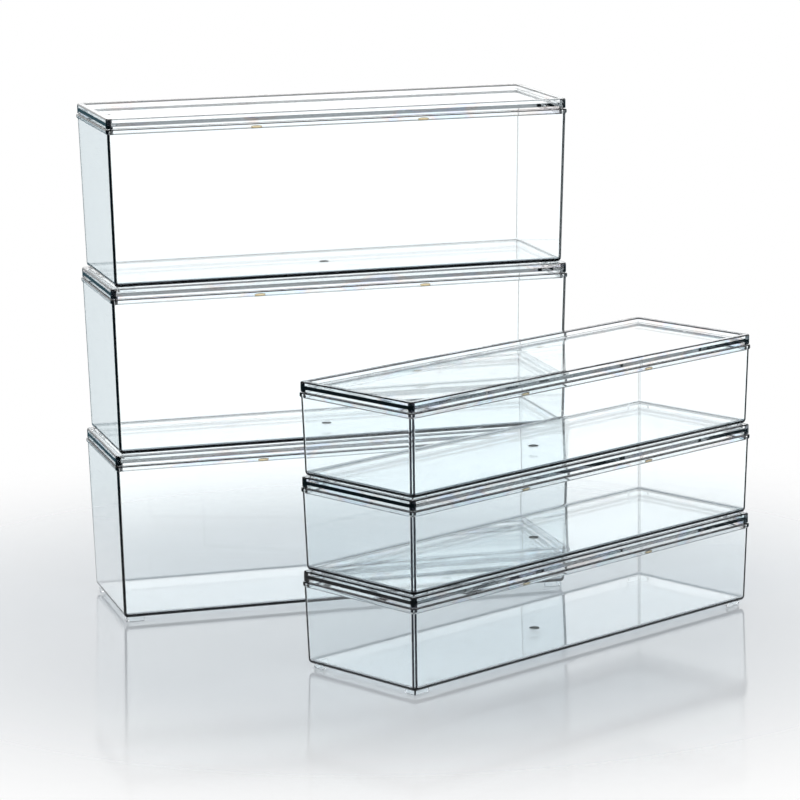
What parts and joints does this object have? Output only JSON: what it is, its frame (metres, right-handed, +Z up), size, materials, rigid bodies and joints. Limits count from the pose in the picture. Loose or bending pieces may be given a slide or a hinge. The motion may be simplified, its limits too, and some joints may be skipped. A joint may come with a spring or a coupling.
{
  "type": "stacking storage box",
  "caption": "Clear lidded storage boxes, low ones and tall ones on one footprint, standing in stacks; each lid lifts off and its recess holds the feet of the box above.",
  "frame": {"origin": "middle of the whole set's footprint, on the surface that the feet stand on", "axes": "+X along the low boxes, towards the end where the tall stack comes closest; +Y from the low stack to the tall one; +Z up"},
  "size_m": [0.2579, 0.2825, 0.266],
  "materials": {
    "clear_tub": "clear moulded polystyrene, polished, faint cool cast",
    "clear_lid": "clear moulded polystyrene, polished, faint cool cast"
  },
  "bodies": {
    "table_tubs": {"low_tub_1": "clear_tub", "tall_tub_1": "clear_tub"},
    "low_lid_1": {"low_lid_1": "clear_lid"},
    "low_tub_2": {"low_tub_2": "clear_tub"},
    "low_lid_2": {"low_lid_2": "clear_lid"},
    "low_tub_3": {"low_tub_3": "clear_tub"},
    "low_lid_3": {"low_lid_3": "clear_lid"},
    "tall_lid_1": {"tall_lid_1": "clear_lid"},
    "tall_tub_2": {"tall_tub_2": "clear_tub"},
    "tall_lid_2": {"tall_lid_2": "clear_lid"},
    "tall_tub_3": {"tall_tub_3": "clear_tub"},
    "tall_lid_3": {"tall_lid_3": "clear_lid"}
  },
  "joints": [
    {"name": "low_lid_1_lift", "type": "slide", "parent": "table_tubs", "child": "low_lid_1", "axis": [0, 0, 1], "range_m": [0, 0.05]},
    {"name": "low_tub_2_lift", "type": "slide", "parent": "low_lid_1", "child": "low_tub_2", "axis": [0, 0, 1], "range_m": [0, 0.05]},
    {"name": "low_lid_2_lift", "type": "slide", "parent": "low_tub_2", "child": "low_lid_2", "axis": [0, 0, 1], "range_m": [0, 0.05]},
    {"name": "low_tub_3_lift", "type": "slide", "parent": "low_lid_2", "child": "low_tub_3", "axis": [0, 0, 1], "range_m": [0, 0.05]},
    {"name": "low_lid_3_lift", "type": "slide", "parent": "low_tub_3", "child": "low_lid_3", "axis": [0, 0, 1], "range_m": [0, 0.05]},
    {"name": "tall_lid_1_lift", "type": "slide", "parent": "table_tubs", "child": "tall_lid_1", "axis": [0, 0, 1], "range_m": [0, 0.05]},
    {"name": "tall_tub_2_lift", "type": "slide", "parent": "tall_lid_1", "child": "tall_tub_2", "axis": [0, 0, 1], "range_m": [0, 0.05]},
    {"name": "tall_lid_2_lift", "type": "slide", "parent": "tall_tub_2", "child": "tall_lid_2", "axis": [0, 0, 1], "range_m": [0, 0.05]},
    {"name": "tall_tub_3_lift", "type": "slide", "parent": "tall_lid_2", "child": "tall_tub_3", "axis": [0, 0, 1], "range_m": [0, 0.05]},
    {"name": "tall_lid_3_lift", "type": "slide", "parent": "tall_tub_3", "child": "tall_lid_3", "axis": [0, 0, 1], "range_m": [0, 0.05]}
  ]
}
